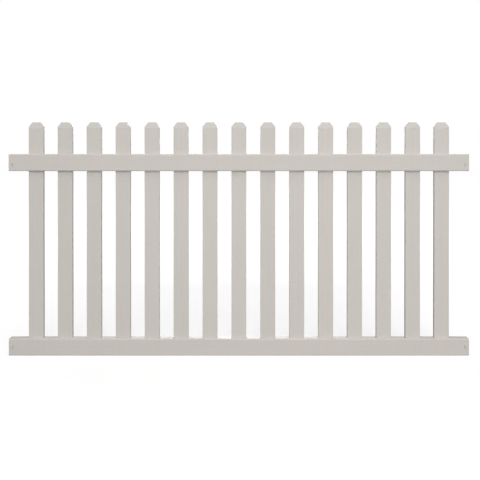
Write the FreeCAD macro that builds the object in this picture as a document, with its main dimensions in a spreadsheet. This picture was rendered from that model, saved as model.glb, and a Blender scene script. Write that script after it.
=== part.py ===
import FreeCAD, Part
import math
import os
import Sketcher

# Picket fence panel in hollow extruded vinyl: dog-ear pickets pass up through two routed rails.
# Millimetres. +X runs along the rails, +Y from the front face to the back, +Z up.
# The origin is the middle of the bottom rail's underside.

# Driving sizes: alias, value, meaning
SIZES = (
    ("picket_count", "15", "pickets in the panel"),
    ("picket_width", "77.8", "face of a picket"),
    ("picket_thickness", "22.2", "picket from front to back"),
    ("picket_wall", "1.5", "wall of the picket tube"),
    ("picket_corner_radius", "2", "outer corner of the picket tube"),
    ("picket_gap", "74.6", "air between two pickets"),
    ("picket_reach", "134.5", "picket tube above the top rail"),
    ("rail_height", "88.9", "rail from underside to top"),
    ("rail_depth", "50.8", "rail from front to back"),
    ("rail_wall", "2.4", "wall of the rail tube"),
    ("rail_corner_radius", "5", "outer corner of the rail tube"),
    ("rail_gap", "879.5", "air between the two rails"),
    ("rail_end_gap", "100.8", "rail end to the first picket"),
    ("slot_clearance", "0.3", "room round a picket in its routed slot"),
    ("cap_band", "9", "full-width band of a cap, below its ears"),
    ("cap_wall", "1.8", "wall of the moulded cap"),
    ("ear_run", "17.5", "width that each sloped ear takes off the cap"),
    ("ear_rise", "24", "height of the ears"),
    ("face_setback", "3.2", "lean of the cap's front and back faces at the top"),
    ("ear_bevel", "3", "bevel along the ears at the top"),
    ("crown_bevel", "1.4", "bevel round the cap's flat top"),
    ("seam_bevel", "0.5", "bevel at the joint of cap and picket"),
    ("plug_depth", "22", "cap's plug inside the picket"),
    ("plug_clearance", "0.2", "room round the plug in the picket"),
    ("tab_length", "14", "lock tab along the rail"),
    ("tab_root_height", "20", "lock tab's height where it leaves the wall"),
    ("tab_lip_height", "13", "lock tab's height at its raised lip"),
    ("tab_proud", "3", "lip above the rail's face"),
    ("tab_slit", "0.9", "cut round a lock tab"),
    ("tab_end_gap", "8", "rail end to the root of a lock tab"),
    ("top_tab_level", "33", "middle of the top rail's tabs above its underside"),
    ("bottom_tab_level", "46", "middle of the bottom rail's tabs above its underside"),
    ("least_radius", "0.4", "smallest inner corner that the tooling leaves"),
)

# Sizes worked out from the driving ones
DERIVED = (
    ("picket_pitch", "=picket_width + picket_gap", "picket to picket"),
    ("picket_span", "=(picket_count - 1) * picket_pitch", "first picket to last"),
    ("picket_length", "=2 * rail_height - rail_wall + rail_gap + picket_reach", "cut length of a picket"),
    ("picket_top_level", "=rail_wall + picket_length", "top end of the picket tubes"),
    ("picket_bore_width", "=picket_width - 2 * picket_wall", "inside of the picket tube"),
    ("picket_bore_depth", "=picket_thickness - 2 * picket_wall", "inside of the picket tube"),
    ("picket_bore_cut", "=max(picket_corner_radius - picket_wall; least_radius)", "inner corner"),
    ("rail_length", "=picket_span + picket_width + 2 * rail_end_gap", "cut length of a rail"),
    ("rail_bore_height", "=rail_height - 2 * rail_wall", "inside of the rail tube"),
    ("rail_bore_depth", "=rail_depth - 2 * rail_wall", "inside of the rail tube"),
    ("rail_bore_radius", "=max(rail_corner_radius - rail_wall; least_radius)", "inner corner"),
    ("top_rail_level", "=rail_height + rail_gap", "underside of the top rail"),
    ("slot_width", "=picket_width + 2 * slot_clearance", "routed slot along the rail"),
    ("slot_depth", "=picket_thickness + 2 * slot_clearance", "routed slot across the rail"),
    ("slot_radius", "=picket_corner_radius + slot_clearance", "corner of the routed slot"),
    ("cap_corner_cut", "=picket_corner_radius * (2 - sqrt(2))", "cut that meets the picket's round corner"),
    ("seam_width", "=picket_width - 2 * seam_bevel", "cap's lowest outline"),
    ("seam_depth", "=picket_thickness - 2 * seam_bevel", "cap's lowest outline"),
    ("cap_height", "=cap_band + ear_rise", "cap above its joint with the picket"),
    ("shoulder_depth", "=picket_thickness - 2 * face_setback * cap_band / cap_height", "cap at its ears"),
    ("crown_width", "=picket_width - 2 * ear_run", "cap between the tops of its ears"),
    ("crown_depth", "=picket_thickness - 2 * face_setback", "cap from front to back at its top"),
    ("flat_width", "=crown_width - 2 * crown_bevel", "flat top inside its bevel"),
    ("flat_depth", "=crown_depth - 2 * crown_bevel", "flat top inside its bevel"),
    ("plug_width", "=picket_bore_width - 2 * plug_clearance", "outside of the plug"),
    ("plug_thickness", "=picket_bore_depth - 2 * plug_clearance", "outside of the plug"),
    ("plug_bore_width", "=plug_width - 2 * cap_wall", "inside of the plug"),
    ("plug_bore_depth", "=plug_thickness - 2 * cap_wall", "inside of the plug"),
    ("crown_bore_width", "=crown_width - 2 * cap_wall", "roof of the cap's hollow"),
    ("crown_bore_depth", "=crown_depth - 2 * cap_wall", "roof of the cap's hollow"),
    ("crown_bore_level", "=cap_height - cap_wall", "roof of the cap's hollow"),
    ("window_root_height", "=tab_root_height + 2 * tab_slit", "cut-out behind a lock tab"),
    ("window_lip_height", "=tab_lip_height + 2 * tab_slit", "cut-out behind a lock tab"),
    ("window_depth", "=2 * rail_wall", "cut-out's reach through the wall and clear of it"),
    ("tab_root_x", "=rail_length / 2 - tab_end_gap", "root of the right-hand tabs"),
    ("tab_lip_x", "=tab_root_x - tab_length", "lip of the right-hand tabs"),
    ("wall_middle", "=(rail_depth - rail_wall) / 2", "mid-thickness of the rail's front and back walls"),
)

# A lofted face counts as flat when a plane fits it this closely
FLAT_ERROR = 0.0001


def make_sheet(doc):
    """Fill the size sheet, one named cell to a size."""
    sheet = doc.addObject("Spreadsheet::Sheet", "Sizes")
    for row, (alias, text, meaning) in enumerate(SIZES + DERIVED, start=1):
        sheet.set(f"A{row}", text)
        sheet.setAlias(f"A{row}", alias)
        sheet.set(f"B{row}", meaning)
    doc.recompute()
    return sheet


def origin_feature(body, role):
    """Find one of the body's own origin planes or axes."""
    return next(feature for feature in body.Origin.OriginFeatures if feature.Role == role)


def new_sketch(body, name, role, **offsets):
    """Attach an empty sketch to an origin plane, shifted along the plane's own x, y and z."""
    sketch = body.newObject("Sketcher::SketchObject", name)
    sketch.AttachmentSupport = [(origin_feature(body, role), "")]
    sketch.MapMode = "FlatFace"
    for axis, expression in offsets.items():
        sketch.setExpression(f"AttachmentOffset.Base.{axis}", expression)
    return sketch


def bind(sketch, kind, references, alias):
    """Add a dimension that follows a cell of the sheet."""
    value = getattr(sketch.Document.Sizes, alias)
    index = sketch.addConstraint(Sketcher.Constraint(kind, *references, value))
    sketch.setExpression(f"Constraints[{index}]", f"Sizes.{alias}")


def draw_rectangle(sketch, width, height):
    """Draw a sharp rectangle about the sketch's origin."""
    sizes = sketch.Document.Sizes
    right = getattr(sizes, width) / 2
    top = getattr(sizes, height) / 2
    corners = [(right, top), (-right, top), (-right, -top), (right, -top)]
    points = [FreeCAD.Vector(x, y, 0) for x, y in corners]
    sides = [sketch.addGeometry(Part.LineSegment(points[i], points[(i + 1) % 4])) for i in range(4)]
    for i in range(4):
        sketch.addConstraint(Sketcher.Constraint("Coincident", sides[i], 2, sides[(i + 1) % 4], 1))
        sketch.addConstraint(Sketcher.Constraint(("Horizontal", "Vertical")[i % 2], sides[i]))
    sketch.addConstraint(Sketcher.Constraint("Symmetric", sides[0], 1, sides[2], 1, -1, 1))
    bind(sketch, "DistanceX", (sides[2], 1, sides[3], 1), width)
    bind(sketch, "DistanceY", (sides[3], 1, sides[0], 1), height)


def draw_cut_rectangle(sketch, width, height, cut):
    """Draw a rectangle with its corners cut off evenly, about the sketch's origin."""
    sizes = sketch.Document.Sizes
    leg = getattr(sizes, cut)
    right = getattr(sizes, width) / 2
    top = getattr(sizes, height) / 2
    half = [(right, top - leg), (right - leg, top), (leg - right, top), (-right, top - leg)]
    points = [FreeCAD.Vector(x, y, 0) for x, y in half]
    points += [point.negative() for point in points]
    sides = [sketch.addGeometry(Part.LineSegment(points[i], points[(i + 1) % 8])) for i in range(8)]
    for i in range(8):
        sketch.addConstraint(Sketcher.Constraint("Coincident", sides[i], 2, sides[(i + 1) % 8], 1))
    for i in range(4):
        sketch.addConstraint(Sketcher.Constraint("Symmetric", sides[i], 1, sides[i + 4], 1, -1, 1))
    sketch.addConstraint(Sketcher.Constraint("Horizontal", sides[1]))
    sketch.addConstraint(Sketcher.Constraint("Vertical", sides[3]))
    bind(sketch, "DistanceX", (sides[3], 1, sides[0], 1), width)
    bind(sketch, "DistanceY", (sides[5], 1, sides[1], 1), height)
    bind(sketch, "DistanceX", (sides[1], 1, sides[0], 1), cut)
    bind(sketch, "DistanceY", (sides[0], 1, sides[1], 1), cut)
    bind(sketch, "DistanceX", (sides[3], 1, sides[2], 1), cut)
    bind(sketch, "DistanceY", (sides[3], 1, sides[2], 1), cut)


def draw_rounded_rectangle(sketch, width, height, radius):
    """Draw a rectangle with round corners about the sketch's origin."""
    sizes = sketch.Document.Sizes
    corner = getattr(sizes, radius)
    right = getattr(sizes, width) / 2 - corner
    top = getattr(sizes, height) / 2 - corner
    centres = [(right, top), (-right, top), (-right, -top), (right, -top)]
    arcs = []
    for i, (x, y) in enumerate(centres):
        circle = Part.Circle(FreeCAD.Vector(x, y, 0), FreeCAD.Vector(0, 0, 1), corner)
        arc = Part.ArcOfCircle(circle, i * math.pi / 2, (i + 1) * math.pi / 2)
        arcs.append((sketch.addGeometry(arc), arc))
    sides = []
    for i in range(4):
        line = Part.LineSegment(arcs[i][1].EndPoint, arcs[(i + 1) % 4][1].StartPoint)
        sides.append(sketch.addGeometry(line))
    for i in range(4):
        sketch.addConstraint(Sketcher.Constraint("Tangent", arcs[i][0], 2, sides[i], 1))
        sketch.addConstraint(Sketcher.Constraint("Tangent", sides[i], 2, arcs[(i + 1) % 4][0], 1))
        sketch.addConstraint(Sketcher.Constraint(("Horizontal", "Vertical")[i % 2], sides[i]))
    for i in range(1, 4):
        sketch.addConstraint(Sketcher.Constraint("Equal", arcs[0][0], arcs[i][0]))
    sketch.addConstraint(Sketcher.Constraint("Symmetric", arcs[0][0], 3, arcs[2][0], 3, -1, 1))
    bind(sketch, "DistanceX", (sides[1], 1, sides[3], 1), width)
    bind(sketch, "DistanceY", (sides[2], 1, sides[0], 1), height)
    bind(sketch, "Radius", (arcs[0][0],), radius)


def new_loft(body, kind, name, sections):
    """Join flat sections by straight faces, adding or cutting as the kind says."""
    loft = body.newObject(f"PartDesign::{kind}Loft", name)
    loft.Profile = sections[0]
    loft.Sections = sections[1:]
    loft.Ruled = True
    return loft


def tab_section(body, name, x, out, level, size):
    """Draw a cross-section of a front lock tab, or of the window behind it, at x along the rail."""
    sketch = new_sketch(
        body, name, "YZ_Plane",
        x=f"-({out})",
        y=f"Sizes.{level} - Sizes.rail_height / 2",
        z=x,
    )
    draw_rectangle(sketch, *size)
    return sketch


def add_lock_tabs(body, level):
    """Lance a ramped tab out of the front wall near the right end, then mirror it to all four places."""
    window = new_loft(body, "Subtractive", "TabWindow", [
        tab_section(body, "WindowRoot", "Sizes.tab_root_x", "Sizes.wall_middle",
                    level, ("window_depth", "window_root_height")),
        tab_section(body, "WindowLip", "Sizes.tab_lip_x - Sizes.tab_slit", "Sizes.wall_middle",
                    level, ("window_depth", "window_lip_height")),
    ])
    tab = new_loft(body, "Additive", "LockTab", [
        tab_section(body, "TabRoot", "Sizes.tab_root_x", "Sizes.wall_middle",
                    level, ("rail_wall", "tab_root_height")),
        tab_section(body, "TabLip", "Sizes.tab_lip_x", "Sizes.wall_middle + Sizes.tab_proud",
                    level, ("rail_wall", "tab_lip_height")),
    ])
    mirrors = []
    for role in ("XZ_Plane", "YZ_Plane"):
        mirror = body.newObject("PartDesign::Mirrored", "TabMirror")
        mirror.MirrorPlane = (origin_feature(body, role), [""])
        mirrors.append(mirror)
    everywhere = body.newObject("PartDesign::MultiTransform", "LockTabs")
    everywhere.Originals = [window, tab]
    everywhere.Transformations = mirrors
    body.Tip = everywhere


def add_slots(body, side):
    """Rout a slot for the first picket, through one wall or both, and repeat it along the rail."""
    outline = new_sketch(body, "SlotOutline", "XY_Plane", x="-Sizes.picket_span / 2")
    draw_rounded_rectangle(outline, "slot_width", "slot_depth", "slot_radius")
    slot = body.newObject("PartDesign::Pocket", "Slot")
    slot.Profile = outline
    slot.Type = "ThroughAll"
    slot.Midplane = side == "both"
    slot.Reversed = side == "top"
    slots = body.newObject("PartDesign::LinearPattern", "Slots")
    slots.Originals = [slot]
    slots.Direction = (origin_feature(body, "X_Axis"), [""])
    slots.setExpression("Length", "Sizes.picket_span")
    slots.setExpression("Occurrences", "Sizes.picket_count")
    body.Tip = slots


def make_rail(doc, label, level, tab_level, slot_side):
    """Build a hollow rail about its own middle, with lock tabs at both ends and a slot for each picket."""
    body = doc.addObject("PartDesign::Body", label)
    body.Label = label
    profile = new_sketch(body, "RailProfile", "YZ_Plane")
    draw_rounded_rectangle(profile, "rail_depth", "rail_height", "rail_corner_radius")
    draw_rounded_rectangle(profile, "rail_bore_depth", "rail_bore_height", "rail_bore_radius")
    tube = body.newObject("PartDesign::Pad", "RailTube")
    tube.Profile = profile
    tube.Midplane = True
    tube.setExpression("Length", "Sizes.rail_length")
    add_lock_tabs(body, tab_level)
    add_slots(body, slot_side)
    body.setExpression("Placement.Base.z", f"{level} + Sizes.rail_height / 2")
    return body


def place_in_row(body, index, level):
    """Stand a piece at its place in the row of pickets."""
    body.setExpression("Placement.Base.x", f"{index} * Sizes.picket_pitch - Sizes.picket_span / 2")
    body.setExpression("Placement.Base.z", level)


def make_picket(doc, label, index):
    """Build a hollow picket that stands on the floor inside the bottom rail."""
    body = doc.addObject("PartDesign::Body", label)
    body.Label = label
    profile = new_sketch(body, "PicketProfile", "XY_Plane")
    draw_rounded_rectangle(profile, "picket_width", "picket_thickness", "picket_corner_radius")
    draw_cut_rectangle(profile, "picket_bore_width", "picket_bore_depth", "picket_bore_cut")
    tube = body.newObject("PartDesign::Pad", "PicketTube")
    tube.Profile = profile
    tube.setExpression("Length", "Sizes.picket_length")
    place_in_row(body, index, "Sizes.rail_wall")
    return body


def cap_section(body, name, level, width, depth, cut):
    """Draw a level cross-section of the cap."""
    sketch = new_sketch(body, name, "XY_Plane", z=level)
    draw_cut_rectangle(sketch, width, depth, cut)
    return sketch


def make_cap(doc, label, index):
    """Mould a hollow dog-ear cap, with a plug that enters the picket."""
    body = doc.addObject("PartDesign::Body", label)
    body.Label = label
    corner = "cap_corner_cut"
    crown_foot = "Sizes.cap_height - Sizes.crown_bevel"
    new_loft(body, "Additive", "Ears", [
        cap_section(body, "SeamOutline", "0", "seam_width", "seam_depth", corner),
        cap_section(body, "BandFoot", "Sizes.seam_bevel", "picket_width", "picket_thickness", corner),
        cap_section(body, "Shoulder", "Sizes.cap_band", "picket_width", "shoulder_depth", corner),
        cap_section(body, "CrownFoot", crown_foot, "crown_width", "crown_depth", "ear_bevel"),
        cap_section(body, "CrownFlat", "Sizes.cap_height", "flat_width", "flat_depth", "ear_bevel"),
    ])
    inner = "picket_bore_cut"
    plug = body.newObject("PartDesign::Pad", "Plug")
    plug.Profile = cap_section(body, "PlugOutline", "0", "plug_width", "plug_thickness", inner)
    plug.Reversed = True
    plug.setExpression("Length", "Sizes.plug_depth")
    roof = "Sizes.crown_bore_level"
    hollow = new_loft(body, "Subtractive", "Hollow", [
        cap_section(body, "HollowMouth", "-Sizes.plug_depth", "plug_bore_width", "plug_bore_depth", inner),
        cap_section(body, "HollowShoulder", "Sizes.cap_band", "plug_bore_width", "plug_bore_depth", inner),
        cap_section(body, "HollowRoof", roof, "crown_bore_width", "crown_bore_depth", "ear_bevel"),
    ])
    body.Tip = hollow
    place_in_row(body, index, "Sizes.picket_top_level")
    return body


def make_panel(doc):
    """Build every piece of the panel."""
    sheet = make_sheet(doc)
    pieces = [
        make_rail(doc, "bottom_rail", "0", "bottom_tab_level", "top"),
        make_rail(doc, "top_rail", "Sizes.top_rail_level", "top_tab_level", "both"),
    ]
    for index in range(int(sheet.picket_count)):
        pieces.append(make_picket(doc, f"picket_{index + 1:02d}", index))
        pieces.append(make_cap(doc, f"picket_cap_{index + 1:02d}", index))
    doc.recompute()
    return pieces


def check(doc, pieces):
    """Stop unless every feature was computed and every piece is one valid solid."""
    failed = [item.Label for item in doc.Objects if {"Invalid", "Error"} & set(item.State)]
    bad = [piece.Label for piece in pieces if piece.Shape.isNull() or not piece.Shape.isValid()]
    bad += [piece.Label for piece in pieces if len(piece.Shape.Solids) != 1]
    if failed or bad:
        raise RuntimeError(f"failed features: {failed}; bad pieces: {bad}")


def flatten(shape):
    """Give the flat faces of lofts true planes, so that nothing downstream meshes them as curved ones."""
    faces = []
    for face in shape.Faces:
        if isinstance(face.Surface, Part.BSplineSurface) and face.findPlane(FLAT_ERROR):
            flat = Part.makeFace(face.Wires, "Part::FaceMakerBullseye")
            u, _, v, _ = face.ParameterRange
            if flat.normalAt(0, 0).dot(face.normalAt(u, v)) < 0:
                flat.reverse()
            face = flat
        faces.append(face)
    return Part.Solid(Part.Shell(faces))


def write(pieces):
    """Write each piece to a file of its own."""
    os.makedirs("parts", exist_ok=True)
    for piece in pieces:
        solid = flatten(piece.Shape)
        if not (solid.isValid() and solid.isClosed()):
            raise RuntimeError(f"{piece.Label} has an open or faulty surface")
        solid.exportStep(f"parts/{piece.Label}.step")
        print(piece.Label, round(solid.Volume / 1000, 2), "cubic centimetres")


panel = FreeCAD.newDocument("picket_fence_panel")
panel_pieces = make_panel(panel)
check(panel, panel_pieces)
write(panel_pieces)
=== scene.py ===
# %% [markdown]
# # A vinyl picket fence panel
# The real panel is hollow extruded vinyl: fifteen pickets pass up through slots routed in two rails, and
# each picket is closed by a moulded dog-ear cap. Its construction comes in as a fixed frame of finished
# solids. This lesson photographs it in a small white studio and gives each piece the finish of its own
# making: drawn lines on what was extruded, fine grain on what was moulded, and a little dust where
# weather leaves it. Shade is also painted into the corners where pickets pass through the rails, and a
# painted highlight along the edges.

import math

import bpy
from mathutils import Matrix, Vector


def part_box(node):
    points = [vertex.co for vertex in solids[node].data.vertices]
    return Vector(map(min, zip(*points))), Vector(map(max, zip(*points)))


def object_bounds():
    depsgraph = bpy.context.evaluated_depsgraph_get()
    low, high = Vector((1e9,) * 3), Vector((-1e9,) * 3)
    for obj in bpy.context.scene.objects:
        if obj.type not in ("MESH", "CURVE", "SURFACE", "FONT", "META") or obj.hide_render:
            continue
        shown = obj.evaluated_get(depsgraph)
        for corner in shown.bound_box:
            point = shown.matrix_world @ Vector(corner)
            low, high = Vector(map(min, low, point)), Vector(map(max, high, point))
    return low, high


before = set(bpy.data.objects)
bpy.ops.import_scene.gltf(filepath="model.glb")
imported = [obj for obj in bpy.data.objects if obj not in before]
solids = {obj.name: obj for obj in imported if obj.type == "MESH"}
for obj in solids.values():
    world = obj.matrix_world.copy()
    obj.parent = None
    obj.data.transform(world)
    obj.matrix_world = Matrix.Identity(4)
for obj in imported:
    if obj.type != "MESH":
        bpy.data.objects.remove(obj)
cad_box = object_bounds()
print("solids:", len(solids), "box:", [round(side, 4) for side in cad_box[1] - cad_box[0]])

# %% [markdown]
# The studio and the finishes need to know where the pieces stand. Those places could be typed in, but
# then they would be wrong as soon as the fence changed, so they are measured from the frame itself.

# %% Measure the pieces
rails = [solids["bottom_rail"], solids["top_rail"]]
caps = [solids[name] for name in sorted(solids) if name.startswith("picket_cap_")]
uprights = [solids[name] for name in sorted(solids) if name.startswith("picket_")]
pickets = [upright for upright in uprights if upright not in caps]
panel_middle = (cad_box[0] + cad_box[1]) / 2
panel_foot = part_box("bottom_rail")[0].z
picket_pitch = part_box("picket_02")[0].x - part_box("picket_01")[0].x
print("pickets:", len(pickets), "caps:", len(caps), "pitch:", round(picket_pitch, 4))

# %% [markdown]
# ## The camera
# The photograph was taken standing in front of the middle, at the height of the top rail, with the lens
# all but level and the frame shifted down: the pickets stay upright, and only the bottom rail shows its
# top face. A camera tilted down would make the pickets lean together, so the lens shift does the framing
# here as well.

# %% Set up the camera
CAMERA_PLACE = Vector((0.0058, -3.5, 1.08))
CAMERA_TILT = math.radians(0.19)
CAMERA_LENS = 49.75
CAMERA_SENSOR = 36.0
CAMERA_SHIFT = -0.1834

camera_data = bpy.data.cameras.new("photo_camera")
camera_data.lens = CAMERA_LENS
camera_data.sensor_width = CAMERA_SENSOR
camera_data.shift_y = CAMERA_SHIFT
camera = bpy.data.objects.new("photo_camera", camera_data)
camera.location = CAMERA_PLACE
camera.rotation_euler = (math.pi / 2 - CAMERA_TILT, 0, 0)
bpy.context.collection.objects.link(camera)
bpy.context.scene.camera = camera
bpy.context.scene.view_settings.view_transform = "Standard"
print("camera stands", round(-CAMERA_PLACE.y, 2), "m in front, lens", CAMERA_LENS, "mm")

# %% [markdown]
# ## Helpers for shader nodes
# Every finish below is a node tree. A few small helpers keep them readable: one wires an output into a
# socket or sets the socket's own number, one adds a node with its title, its spot on the canvas and its
# inputs, and two add the nodes used most, a sum and a change of range.

# %% Node helpers
NODE_COLUMN = 220
NODE_ROW = 190


def feed(tree, socket, value):
    """Wire an output into the socket, or set the socket's own value."""
    if isinstance(value, bpy.types.NodeSocket):
        tree.links.new(value, socket)
    else:
        socket.default_value = value


def add(tree, kind, title, spot, inputs=None, **settings):
    """Add a node at a column and row of the canvas, with its settings and its inputs."""
    node = tree.nodes.new(kind)
    node.label = title
    node.location = (spot[0] * NODE_COLUMN, -spot[1] * NODE_ROW)
    for name, value in settings.items():
        setattr(node, name, value)
    for name, value in (inputs or {}).items():
        feed(tree, node.inputs[name], value)
    return node


def maths(tree, operation, title, spot, *values, clamp=False):
    """Add a Math node and return its result."""
    inputs = dict(enumerate(values))
    node = add(tree, "ShaderNodeMath", title, spot, inputs, operation=operation, use_clamp=clamp)
    return node.outputs[0]


def remap(tree, title, spot, value, span, result):
    """Map a value from one span to another, held at both ends."""
    inputs = {
        "Value": value,
        "From Min": span[0],
        "From Max": span[1],
        "To Min": result[0],
        "To Max": result[1],
    }
    return add(tree, "ShaderNodeMapRange", title, spot, inputs).outputs[0]


print("node helpers ready")

# %% [markdown]
# ## The studio
# The panel stands on a pale floor that runs out of sight, under a white surround. A white picture could
# be had with more light, but that would bleach the vinyl too. Instead the surround is white only where it
# is seen, by the camera or in a gloss, and the light that it sheds on the vinyl stays at a plain level.

# %% Build the surround
WHITE = (1, 1, 1, 1)
SURROUND_LIGHT = 0.09


def seen_white(tree, spot):
    """Give 1 for rays from the camera and those that gloss or glass sends on, and 0 for the rest."""
    column, row = spot
    rays = add(tree, "ShaderNodeLightPath", "Kind of ray", spot).outputs
    direct, glossy, through = rays["Is Camera Ray"], rays["Is Glossy Ray"], rays["Is Transmission Ray"]
    mirrored = maths(tree, "MAXIMUM", "Or mirrored", (column + 1, row), direct, glossy)
    return maths(tree, "MAXIMUM", "Or through glass", (column + 2, row), mirrored, through)


def make_surround():
    """Light the scene evenly from all round, and show white behind it."""
    world = bpy.data.worlds.new("white_surround")
    world.use_nodes = True
    tree = world.node_tree
    tree.nodes.clear()
    strength = remap(tree, "White or light", (3, 0), seen_white(tree, (0, 0)), (0, 1), (SURROUND_LIGHT, 1))
    surround = add(tree, "ShaderNodeBackground", "Surround", (4, 0), {"Color": WHITE, "Strength": strength})
    output = add(tree, "ShaderNodeOutputWorld", "World", (5, 0))
    tree.links.new(surround.outputs[0], output.inputs["Surface"])
    return world


bpy.context.scene.world = make_surround()
print("surround sheds", SURROUND_LIGHT, "of white")

# %% [markdown]
# The floor gets most of its white in the same way, as a glow that lights nothing. The rest is ordinary
# lit paint, so the panel still throws a soft shadow on it. The lamps fade with distance, so the glow
# grows away from the panel and the floor runs into the surround without a line.

# %% Lay the floor
FLOOR_REACH = 40.0
FLOOR_DROP = 0.0004
FLOOR_PAINT = (0.3, 0.3, 0.3, 1)
NEAR_GLOW = 0.75
FAR_GLOW = 0.96
GLOW_SPAN = (0.8, 5.0)


def make_floor_paint():
    """Mix lit paint with the glow that is only seen."""
    paint = bpy.data.materials.new("pale_floor")
    paint.use_nodes = True
    tree = paint.node_tree
    tree.nodes.clear()
    lit = add(tree, "ShaderNodeBsdfDiffuse", "Lit paint", (3, 1), {"Color": FLOOR_PAINT})
    place = add(tree, "ShaderNodeTexCoord", "Place", (0, 2)).outputs["Object"]
    away = add(tree, "ShaderNodeVectorMath", "Away", (1, 2), {0: place}, operation="LENGTH")
    share = remap(tree, "Share of glow", (2, 2), away.outputs["Value"], GLOW_SPAN, (NEAR_GLOW, FAR_GLOW))
    strength = maths(tree, "MULTIPLY", "Glow that is seen", (3, 0), seen_white(tree, (0, 0)), share)
    glow = add(tree, "ShaderNodeEmission", "Glow", (4, 0), {"Color": WHITE, "Strength": strength})
    shaders = {0: lit.outputs[0], 1: glow.outputs[0]}
    both = add(tree, "ShaderNodeAddShader", "Paint and glow", (5, 0), shaders)
    output = add(tree, "ShaderNodeOutputMaterial", "Floor", (6, 0))
    tree.links.new(both.outputs[0], output.inputs["Surface"])
    return paint


def lay_floor():
    """Lay the floor just under the bottom rail."""
    ends = (-FLOOR_REACH, FLOOR_REACH)
    corners = [(x, y, panel_foot - FLOOR_DROP) for x in ends for y in ends]
    way_round = (0, 2, 3, 1)
    mesh = bpy.data.meshes.new("floor")
    mesh.from_pydata(corners, [], [way_round])
    mesh.materials.append(make_floor_paint())
    floor = bpy.data.objects.new("floor", mesh)
    bpy.context.collection.objects.link(floor)
    return floor


floor = lay_floor()
print("floor at", round(floor.data.vertices[0].co.z, 4))

# %% [markdown]
# ## The lights
# In the photograph the faces are evenly lit, the left end is a little darker than the rest, the sides of
# the pickets are dark, and a short shadow lies on the pickets under the top rail, darkest along its first
# line. One lamp can't give all of that. A small lamp high in front draws the dark line, a large one above
# it softens the rest of the shadow, and one overhead lights the top faces and the caps. A low fill,
# tilted to the foot, evens out the faces. The lamps hang metres off, so that the top isn't lit more than
# the foot and little light gets round to the sides of the pickets. A lamp far behind, narrowed so that it
# stays off the floor, keeps the back readable when the panel is walked round.

# %% Hang the lamps
OPEN_SPREAD = 180
NARROW_SPREAD = 50


def hang_lamp(name, place, aim, size, power, spread=OPEN_SPREAD):
    """Hang a rectangular lamp at a place, turned to what it lights, with its spread in degrees."""
    data = bpy.data.lights.new(name, "AREA")
    data.shape = "RECTANGLE"
    data.size, data.size_y = size
    data.energy = power
    data.spread = math.radians(spread)
    lamp = bpy.data.objects.new(name, data)
    lamp.location = Vector(place)
    lamp.rotation_euler = (Vector(aim) - lamp.location).to_track_quat("-Z", "Y").to_euler()
    bpy.context.collection.objects.link(lamp)
    print(name, round((lamp.location - panel_middle).length, 2), "m from the panel")


hang_lamp("front_lamp", place=(0.8, -12.0, 8.6), aim=panel_middle, size=(2.6, 1.6), power=638)
hang_lamp("high_lamp", place=(1.1, -10.8, 11.4), aim=panel_middle, size=(10.2, 7.6), power=500)
hang_lamp("overhead_lamp", place=(0.2, -1.6, 7.0), aim=panel_middle, size=(4.0, 3.0), power=165)
hang_lamp("front_fill", place=(0.6, -5.6, 0.4), aim=(0.6, -4.8, 0.15), size=(4.4, 0.7), power=113)
hang_lamp("back_fill", (-0.3, 18.0, 3.2), panel_middle, size=(6.0, 3.0), power=132, spread=NARROW_SPREAD)

# %% [markdown]
# ## Shared effects
# Vinyl parts differ in how they were made, and they weather alike. What several finishes share is built
# once as a node group with named inputs and outputs, and each finish places the group with its own
# values.

# %% Start a node group
def new_group(name, inputs, outputs):
    """Make an empty node group with the named sockets, and return its tree, its input and its output."""
    tree = bpy.data.node_groups.new(name, "ShaderNodeTree")
    for title, kind, value in inputs:
        socket = tree.interface.new_socket(title, in_out="INPUT", socket_type=f"NodeSocket{kind}")
        if value is not None:
            socket.default_value = value
    for title, kind in outputs:
        tree.interface.new_socket(title, in_out="OUTPUT", socket_type=f"NodeSocket{kind}")
    entry = add(tree, "NodeGroupInput", "Inputs", (-1, 0))
    result = add(tree, "NodeGroupOutput", "Outputs", (9, 0))
    return tree, entry.outputs, result.inputs


def place_group(tree, group, spot, inputs):
    """Place a node group in a material and feed its inputs."""
    return add(tree, "ShaderNodeGroup", group.name, spot, inputs, node_tree=group).outputs


print("group helpers ready")

# %% [markdown]
# ### Drawn lines
# An extruded tube leaves its die with faint lines along its whole length, and its wide walls are never
# quite flat. Modelling lines a few hundredths of a millimetre deep would cost millions of faces, so they
# are a bump: noise drawn out along the tube for the lines, and a slow swell for the walls. The group
# takes a position whose first axis runs along the tube, so rails and pickets use it in their own
# directions.

# %% Build the drawn lines group
FINE_LINES = (0.5, 700.0, 700.0)
BROAD_LINES = (0.3, 110.0, 110.0)
BROAD_SHARE = 0.8
WALL_SWELL = (3.0, 16.0, 16.0)


def noise(tree, title, spot, vector, scale=1.0, detail=2.0, roughness=0.5):
    """Add a 3-D noise and return its value."""
    inputs = {"Vector": vector, "Scale": scale, "Detail": detail, "Roughness": roughness}
    return add(tree, "ShaderNodeTexNoise", title, spot, inputs).outputs[0]


def stretch(tree, title, spot, vector, factors):
    """Multiply a position, axis by axis, which squeezes or draws out the pattern that follows."""
    node = add(tree, "ShaderNodeVectorMath", title, spot, {0: vector, 1: factors}, operation="MULTIPLY")
    return node.outputs[0]


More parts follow.
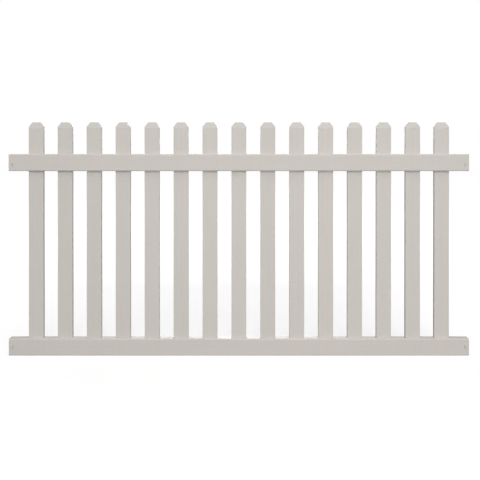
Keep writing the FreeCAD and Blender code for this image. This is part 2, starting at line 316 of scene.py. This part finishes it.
def make_drawn_lines():
    """Lines along the first axis, and the slow swell of the walls."""
    tree, entry, result = new_group(
        "drawn_lines",
        [("Along", "Vector", None)],
        [("Line height", "Float"), ("Swell height", "Float"), ("Line tone", "Float")],
    )
    along = entry["Along"]
    fine = noise(tree, "Fine lines", (2, 0), stretch(tree, "Draw out", (1, 0), along, FINE_LINES))
    broad = noise(tree, "Broad lines", (2, 1), stretch(tree, "Draw out", (1, 1), along, BROAD_LINES))
    swell = noise(tree, "Swell", (2, 2), stretch(tree, "Draw out", (1, 2), along, WALL_SWELL))
    broad_share = maths(tree, "MULTIPLY", "Share of broad", (3, 1), broad, BROAD_SHARE)
    feed(tree, result["Line height"], maths(tree, "ADD", "Both lines", (4, 0), fine, broad_share))
    feed(tree, result["Swell height"], swell)
    feed(tree, result["Line tone"], maths(tree, "ADD", "Even tone", (4, 1), broad, fine))
    return tree


drawn_lines = make_drawn_lines()
print("group:", drawn_lines.name)

# %% [markdown]
# ### Rain streaks
# Out of doors the tone of the vinyl drifts a little over a long piece, and rain draws pale and dark
# streaks down the upright faces. Streaks could be painted on, but a noise drawn out downward runs on from
# one piece to the next. The group takes the clean colour and gives back the streaked one.

# %% Build the rain streaks group
PLAIN_GREY = (0.6, 0.6, 0.6, 1)
DRIFT_NOISE = {"scale": 2.6, "detail": 3.0, "roughness": 0.6}
STREAK_NOISE = {"scale": 1.0, "detail": 3.0, "roughness": 0.55}
STREAKS = (90.0, 90.0, 2.2)
NOISE_MIDDLE = 0.5


def scale_colour(tree, title, spot, colour, factor):
    """Make a colour lighter or darker by a factor."""
    node = add(tree, "ShaderNodeVectorMath", title, spot, {0: colour, "Scale": factor}, operation="SCALE")
    return node.outputs[0]


def make_rain_streaks():
    """Slow drift and fine streaks in the tone of a clean colour."""
    tree, entry, result = new_group(
        "rain_streaks",
        [("Clean colour", "Color", PLAIN_GREY), ("Drift", "Float", 0.03), ("Streaks", "Float", 0.03)],
        [("Colour", "Color")],
    )
    place = add(tree, "ShaderNodeTexCoord", "Place", (-1, 2)).outputs["Object"]
    drift = noise(tree, "Drift", (1, 1), place, **DRIFT_NOISE)
    downward = stretch(tree, "Draw down", (0, 2), place, STREAKS)
    streak = noise(tree, "Streaks", (1, 2), downward, **STREAK_NOISE)
    drift_span = maths(tree, "SUBTRACT", "Drift span", (2, 1), drift, NOISE_MIDDLE)
    streak_span = maths(tree, "SUBTRACT", "Streak span", (2, 2), streak, NOISE_MIDDLE)
    drift_tone = maths(tree, "MULTIPLY_ADD", "Drift tone", (3, 1), drift_span, entry["Drift"], 1.0)
    tone = maths(tree, "MULTIPLY_ADD", "Tone", (4, 1), streak_span, entry["Streaks"], drift_tone)
    feed(tree, result["Colour"], scale_colour(tree, "Toned", (5, 0), entry["Clean colour"], tone))
    return tree


rain_streaks = make_rain_streaks()
print("group:", rain_streaks.name)

# %% [markdown]
# ### Dust and painted corner shade
# Dust settles on the faces that look up. The corners where a picket passes through a rail are darkened
# with the same colour by a short ambient occlusion, which is dark where other surfaces are near: that is
# painted shade. Both are broken into patches. The group also gives a mask, so that the finish can be
# duller where the dust and the painted shade lie.

# %% Build the dust and corner shade group
PLAIN_EARTH = (0.4, 0.35, 0.3, 1)
PATCH_NOISE = {"scale": 22.0, "detail": 4.0, "roughness": 0.6}
PATCH_SPAN = (0.3, 0.7)
PATCH_DEPTH = (0.45, 1)
UPWARD_SPAN = (0.35, 0.95)
CORNER_REACH = 0.018
CORNER_SAMPLES = 8
CORNER_SPAN = (0.35, 0.9)
MIX_FACTOR, MIX_FIRST, MIX_SECOND = 0, 6, 7
MIX_RESULT = 2


def blend_colours(tree, title, spot, factor, first, second):
    """Mix two colours by a factor, through the colour sockets of the Mix node."""
    inputs = {MIX_FACTOR: factor, MIX_FIRST: first, MIX_SECOND: second}
    return add(tree, "ShaderNodeMix", title, spot, inputs, data_type="RGBA").outputs[MIX_RESULT]


def make_dust_and_corner_shade():
    """Settled dust, and shade painted into the corners, over a colour."""
    tree, entry, result = new_group(
        "dust_and_corner_shade",
        [("Bare colour", "Color", PLAIN_GREY), ("Dust and shade colour", "Color", PLAIN_EARTH),
         ("Settled", "Float", 0.2), ("Painted corner shade", "Float", 0.2)],
        [("Colour", "Color"), ("Mask", "Float")],
    )
    place = add(tree, "ShaderNodeTexCoord", "Place", (-1, 1)).outputs["Object"]
    facing = add(tree, "ShaderNodeNewGeometry", "Facing", (-1, 2)).outputs["Normal"]
    up = add(tree, "ShaderNodeSeparateXYZ", "Up", (0, 2), {0: facing}).outputs["Z"]
    patch = noise(tree, "Patches", (0, 1), place, **PATCH_NOISE)
    patchy = remap(tree, "Patchy", (1, 1), patch, PATCH_SPAN, PATCH_DEPTH)
    upward = remap(tree, "Looks up", (1, 2), up, UPWARD_SPAN, (0, 1))
    # Painted shade: a short ambient occlusion darkens the corners where a picket passes through a rail, in
    # the dust colour.
    reach = {"Distance": CORNER_REACH}
    near = add(tree, "ShaderNodeAmbientOcclusion", "Near", (0, 3), reach, samples=CORNER_SAMPLES)
    corner = remap(tree, "In a corner", (1, 3), near.outputs["AO"], CORNER_SPAN, (1, 0))
    settled = maths(tree, "MULTIPLY", "Patchy top", (2, 2), upward, patchy)
    settled_share = maths(tree, "MULTIPLY", "Top share", (3, 2), settled, entry["Settled"])
    corner_shade = maths(tree, "MULTIPLY", "Patchy corner shade", (2, 3), corner, patchy)
    corner_shade_share = maths(tree, "MULTIPLY", "Corner shade share", (3, 3), corner_shade, entry["Painted corner shade"])
    mask = maths(tree, "MAXIMUM", "Dust and corner shade", (4, 2), settled_share, corner_shade_share)
    dusty_and_shaded = blend_colours(tree, "Dusty and shaded", (5, 0), mask, entry["Bare colour"], entry["Dust and shade colour"])
    feed(tree, result["Colour"], dusty_and_shaded)
    feed(tree, result["Mask"], mask)
    return tree


dust_and_corner_shade = make_dust_and_corner_shade()
print("group:", dust_and_corner_shade.name)

# %% [markdown]
# ### Rubbed edges with a painted highlight
# Handling and packing rub the edges of vinyl a little smoother than its faces, and the edges are painted
# a little lighter: partly the wear of the rub, partly a painted highlight. The edges could be painted by
# hand, but a Bevel node finds them: where its rounded normal differs from the true one, there is an edge.

# %% Build the rubbed and highlit edges group
RUB_WIDTH = 0.0025
RUB_SAMPLES = 4
EDGE_SPAN = (0.99, 0.8)
USE_NOISE = {"scale": 35.0, "detail": 4.0, "roughness": 0.6}
USE_SPAN = (0.35, 0.65)
USE_DEPTH = (0.2, 1)


def make_rubbed_and_highlit_edges():
    """A mask of the edges for the rub and its painted highlight, broken up so that the rub looks used."""
    tree, entry, result = new_group("rubbed_and_highlit_edges", [("Amount", "Float", 0.5)], [("Mask", "Float")])
    rounded = add(tree, "ShaderNodeBevel", "Rounded", (0, 0), {"Radius": RUB_WIDTH}, samples=RUB_SAMPLES)
    facing = add(tree, "ShaderNodeNewGeometry", "Facing", (0, 1))
    normals = {0: rounded.outputs["Normal"], 1: facing.outputs["Normal"]}
    match = add(tree, "ShaderNodeVectorMath", "Match", (1, 0), normals, operation="DOT_PRODUCT")
    edge = remap(tree, "Edge", (2, 0), match.outputs["Value"], EDGE_SPAN, (0, 1))
    place = add(tree, "ShaderNodeTexCoord", "Place", (0, 2)).outputs["Object"]
    use = noise(tree, "Use", (1, 2), place, **USE_NOISE)
    broken = remap(tree, "Broken", (2, 1), use, USE_SPAN, USE_DEPTH)
    used = maths(tree, "MULTIPLY", "Used edge", (3, 0), edge, broken)
    feed(tree, result["Mask"], maths(tree, "MULTIPLY", "Rub and highlight", (4, 0), used, entry["Amount"], clamp=True))
    return tree


rubbed_and_highlit_edges = make_rubbed_and_highlit_edges()
print("group:", rubbed_and_highlit_edges.name)

# %% [markdown]
# ### Batch tone
# Pickets are cut from many lengths of extrusion and the caps come out of a box, so no two are quite the
# same shade. A random number for each object would do, but a number drawn from the place in the row gives
# a picket and its cap their own steady value, and the same one every time.

# %% Build the batch tone group
ROW_DRAW = 3.0


def make_batch_tone():
    """A steady tone for each place in the row, between plus and minus the spread."""
    tree, entry, result = new_group("batch_tone", [("Spread", "Float", 0.02)], [("Tone", "Float")])
    place = add(tree, "ShaderNodeTexCoord", "Place", (-1, 2)).outputs["Object"]
    along = add(tree, "ShaderNodeSeparateXYZ", "Along", (0, 2), {0: place}).outputs["X"]
    steps = maths(tree, "DIVIDE", "Steps", (1, 1), along, picket_pitch)
    index = maths(tree, "ROUND", "Place in row", (2, 1), steps)
    draw = maths(tree, "ADD", "Own draw", (3, 1), index, ROW_DRAW)
    number = add(tree, "ShaderNodeTexWhiteNoise", "Number", (4, 1), {"W": draw}, noise_dimensions="1D")
    span = remap(tree, "Span", (5, 1), number.outputs["Value"], (0, 1), (-1, 1))
    feed(tree, result["Tone"], maths(tree, "MULTIPLY_ADD", "Tone", (6, 1), span, entry["Spread"], 1.0))
    return tree


batch_tone = make_batch_tone()
print("group:", batch_tone.name)

# %% [markdown]
# ## The three finishes
# All three start from the same warm grey vinyl with a satin skin. The rails and pickets carry drawn lines
# along their length, and the caps, which are moulded, carry a fine even grain. The helpers here build
# what they share: the shader with its low gloss, and the colour with its streaks, dust, painted corner
# shade and rubbed edges, which are painted a little lighter as a highlight.

# %% Build the satin vinyl
SKIN_GLOSS = 0.2
DUST_AND_SHADE_COLOUR = (0.47, 0.43, 0.37, 1)
# Painted shade: the share of the dust colour that the ambient occlusion lays in the corners.
PAINTED_CORNER_SHADE = 0.02
# A paler edge colour: partly the wear of the rub, partly a painted highlight along the edges.
RUB_AND_HIGHLIGHT_COLOUR = (0.69, 0.66, 0.62, 1)


def start_finish(name):
    """Make an empty material and return it with its tree and its satin shader."""
    finish = bpy.data.materials.new(name)
    finish.use_nodes = True
    tree = finish.node_tree
    tree.nodes.clear()
    gloss = {"Specular IOR Level": SKIN_GLOSS}
    satin = add(tree, "ShaderNodeBsdfPrincipled", "Satin vinyl", (10, 0), gloss)
    output = add(tree, "ShaderNodeOutputMaterial", "Finish", (12, 0))
    tree.links.new(satin.outputs[0], output.inputs["Surface"])
    return finish, tree, satin.inputs


def colour_vinyl(tree, satin, clean, drift, streaks, settled, rub_and_highlight):
    """Streak, dust and rub the clean colour, paint shade into the corners and a highlight on the edges, and
    return the masks of the dust with the corner shade and of the rub with the edge highlight.
    """
    rain = place_group(tree, rain_streaks, (4, 0), {
        "Clean colour": clean,
        "Drift": drift,
        "Streaks": streaks,
    })
    dust_and_shade = place_group(tree, dust_and_corner_shade, (5, 0), {
        "Bare colour": rain["Colour"],
        "Dust and shade colour": DUST_AND_SHADE_COLOUR,
        "Settled": settled,
        "Painted corner shade": PAINTED_CORNER_SHADE,
    })
    edges = place_group(tree, rubbed_and_highlit_edges, (5, 2), {"Amount": rub_and_highlight})
    # Painted highlight: the edges are made paler, together with the wear of the rub.
    worn_and_highlit = blend_colours(tree, "Rubbed and highlit", (6, 0), edges["Mask"], dust_and_shade["Colour"], RUB_AND_HIGHLIGHT_COLOUR)
    feed(tree, satin["Base Color"], worn_and_highlit)
    return dust_and_shade["Mask"], edges["Mask"]


print("satin vinyl ready, gloss", SKIN_GLOSS)

# %% [markdown]
# A skin shines by its smoothness and its relief. Dust and the painted corner shade make it duller and
# rubbing smoother, and a mould or a die leaves it a little uneven all over. The reliefs are bumps with
# their real depth in metres, laid one on another.

# %% Set the sheen and the relief
UNEVEN_SPAN = (0.3, 0.7)
UNEVEN_ROUGHNESS = 0.05
DUST_ROUGHENS = 0.5
RUB_ROUGHENS = -0.1


def set_sheen(tree, satin, roughness, flow, dust_and_shade_mask, rub_and_highlight_mask):
    """Make the skin uneven with the flow of the vinyl, duller under dust and painted corner shade, and
    smoother where rubbed.
    """
    limits = (roughness - UNEVEN_ROUGHNESS, roughness + UNEVEN_ROUGHNESS)
    uneven = remap(tree, "Uneven", (6, 2), flow, UNEVEN_SPAN, limits)
    dusty_and_shaded = maths(tree, "MULTIPLY_ADD", "Dusty and shaded", (7, 2), dust_and_shade_mask, DUST_ROUGHENS, uneven)
    worn_and_highlit = maths(tree, "MULTIPLY_ADD", "Rubbed smooth", (8, 2), rub_and_highlight_mask, RUB_ROUGHENS, dusty_and_shaded, clamp=True)
    feed(tree, satin["Roughness"], worn_and_highlit)


def set_relief(tree, satin, heights):
    """Lay bumps on one another, each with its own depth, and feed the last to the shader."""
    inputs = {"Strength": 1.0}
    for row, (height, depth) in enumerate(heights):
        inputs.update({"Height": height, "Distance": depth})
        inputs["Normal"] = add(tree, "ShaderNodeBump", "Relief", (8, 4 + row), inputs).outputs[0]
    feed(tree, satin["Normal"], inputs["Normal"])


print("sheen and relief ready")

# %% [markdown]
# ### Extruded vinyl
# The lines run along the rails and up the pickets. The position is turned for the pickets, so that its
# first axis is always the length of the tube. Only the pickets have a batch tone, because each rail is
# one length.

# %% Finish the rails and the pickets
RAIL_COLOUR = (0.581, 0.548, 0.512)
PICKET_COLOUR = (0.585, 0.552, 0.516)
TUBE_ROUGHNESS = 0.52
TUBE_DRIFT = 0.05
TUBE_STREAKS = 0.05
TUBE_RUB_AND_HIGHLIGHT = 0.5
RAIL_DUST = 0.06
PICKET_DUST = 0.05
PICKET_SPREAD = 0.012
LINE_TONE_SPAN = (0.7, 1.3)
LINE_TONE = (0.985, 1.015)
LINE_DEPTH = 0.00002
SWELL_DEPTH = 0.0012


def make_extruded_finish(name, colour, along, spread, settled):
    """Satin vinyl with drawn lines along the given axis order."""
    finish, tree, satin = start_finish(name)
    place = add(tree, "ShaderNodeTexCoord", "Place", (-2, 1)).outputs["Object"]
    axes = add(tree, "ShaderNodeSeparateXYZ", "Axes", (-1, 1), {0: place}).outputs
    order = {slot: axes[axis] for slot, axis in enumerate(along)}
    turned = add(tree, "ShaderNodeCombineXYZ", "Along the tube", (0, 1), order).outputs[0]
    lines = place_group(tree, drawn_lines, (1, 1), {"Along": turned})
    tone = remap(tree, "Line tone", (1, 2), lines["Line tone"], LINE_TONE_SPAN, LINE_TONE)
    if spread:
        batch = place_group(tree, batch_tone, (1, 0), {"Spread": spread})["Tone"]
        tone = maths(tree, "MULTIPLY", "Tone", (2, 0), batch, tone)
    clean = scale_colour(tree, "Batch colour", (3, 0), colour, tone)
    dust_and_shade_mask, rub_and_highlight_mask = colour_vinyl(
        tree, satin, clean, drift=TUBE_DRIFT, streaks=TUBE_STREAKS, settled=settled, rub_and_highlight=TUBE_RUB_AND_HIGHLIGHT)
    set_sheen(tree, satin, TUBE_ROUGHNESS, lines["Swell height"], dust_and_shade_mask, rub_and_highlight_mask)
    set_relief(tree, satin, [(lines["Swell height"], SWELL_DEPTH), (lines["Line height"], LINE_DEPTH)])
    return finish


rail_finish = make_extruded_finish("rail_vinyl", RAIL_COLOUR, "XYZ", spread=0, settled=RAIL_DUST)
picket_finish = make_extruded_finish("picket_vinyl", PICKET_COLOUR, "ZXY", PICKET_SPREAD, PICKET_DUST)
print("finishes:", rail_finish.name, picket_finish.name)

# %% [markdown]
# ### Moulded vinyl
# The caps come out of a blasted mould, so their skin has a fine even grain in place of lines, and they
# are a touch paler, cooler and smoother than the tubes.

# %% Finish the caps
CAP_COLOUR = (0.588, 0.56, 0.53)
CAP_ROUGHNESS = 0.48
CAP_DRIFT = 0.03
CAP_STREAKS = 0.03
CAP_DUST = 0.05
CAP_RUB_AND_HIGHLIGHT = 0.6
FLOW_SCALE = 30.0
FLOW_DEPTH = 0.0003
GRAIN_NOISE = {"scale": 900.0, "detail": 3.0, "roughness": 0.6}
GRAIN_DEPTH = 0.00003


def make_moulded_finish(name):
    """Satin vinyl with a blasted grain."""
    finish, tree, satin = start_finish(name)
    place = add(tree, "ShaderNodeTexCoord", "Place", (-1, 1)).outputs["Object"]
    grain = noise(tree, "Blasted grain", (1, 1), place, **GRAIN_NOISE)
    flow = noise(tree, "Flow", (1, 2), place, FLOW_SCALE)
    tone = place_group(tree, batch_tone, (1, 0), {"Spread": PICKET_SPREAD})["Tone"]
    clean = scale_colour(tree, "Batch colour", (3, 0), CAP_COLOUR, tone)
    dust_and_shade_mask, rub_and_highlight_mask = colour_vinyl(
        tree, satin, clean, drift=CAP_DRIFT, streaks=CAP_STREAKS, settled=CAP_DUST, rub_and_highlight=CAP_RUB_AND_HIGHLIGHT)
    set_sheen(tree, satin, CAP_ROUGHNESS, flow, dust_and_shade_mask, rub_and_highlight_mask)
    set_relief(tree, satin, [(flow, FLOW_DEPTH), (grain, GRAIN_DEPTH)])
    return finish


cap_finish = make_moulded_finish("cap_vinyl")
print("finish:", cap_finish.name)

# %% [markdown]
# ## Dressing the solids
# Each solid comes in with a slot for its finish. New pieces could be modelled over the solids, but their
# shapes are already those of the real tubes and caps, so the finish goes into the slots and the meshes
# stay as they are.

# %% Dress the solids
def dress(pieces, finish):
    """Give every solid in the list its finish."""
    for piece in pieces:
        for slot in piece.material_slots:
            slot.material = finish


dress(rails, rail_finish)
dress(pickets, picket_finish)
dress(caps, cap_finish)
print("dressed:", len(rails), "rails,", len(pickets), "pickets,", len(caps), "caps")

# %% [markdown]
# ## Softened edges
# No moulded or sawn edge is perfectly sharp: a fraction of a millimetre is always rounded off, and that
# sliver is what catches the light. The solids stay as they are. A stack of modifiers joins their facets
# into whole faces, rounds the sharp edges by a hair and evens out the shading of the flat faces. Blender
# would hold the rounding back beside any short edge, so that is turned off: a hair's width fits
# everywhere on these solids.

# %% Soften the edges
WELD_REACH = 0.000001
FLAT_ANGLE = math.radians(0.5)
SHARP_ANGLE = math.radians(28)
EDGE_WIDTH = 0.0003
EDGE_STEPS = 2


def soften(pieces):
    """Round the sharp edges of every solid in the list."""
    for piece in pieces:
        weld = piece.modifiers.new("join_facets", "WELD")
        weld.merge_threshold = WELD_REACH
        merge = piece.modifiers.new("whole_faces", "DECIMATE")
        merge.decimate_type = "DISSOLVE"
        merge.angle_limit = FLAT_ANGLE
        edge = piece.modifiers.new("soft_edges", "BEVEL")
        edge.width = EDGE_WIDTH
        edge.segments = EDGE_STEPS
        edge.limit_method = "ANGLE"
        edge.angle_limit = SHARP_ANGLE
        edge.miter_outer = "MITER_ARC"
        edge.use_clamp_overlap = False
        edge.loop_slide = False
        shade = piece.modifiers.new("even_shading", "WEIGHTED_NORMAL")
        shade.keep_sharp = True


soften(rails + pickets + caps)
softened = caps[0].evaluated_get(bpy.context.evaluated_depsgraph_get())
print("a cap has", len(caps[0].data.polygons), "facets, softened", len(softened.to_mesh().polygons))
softened.to_mesh_clear()
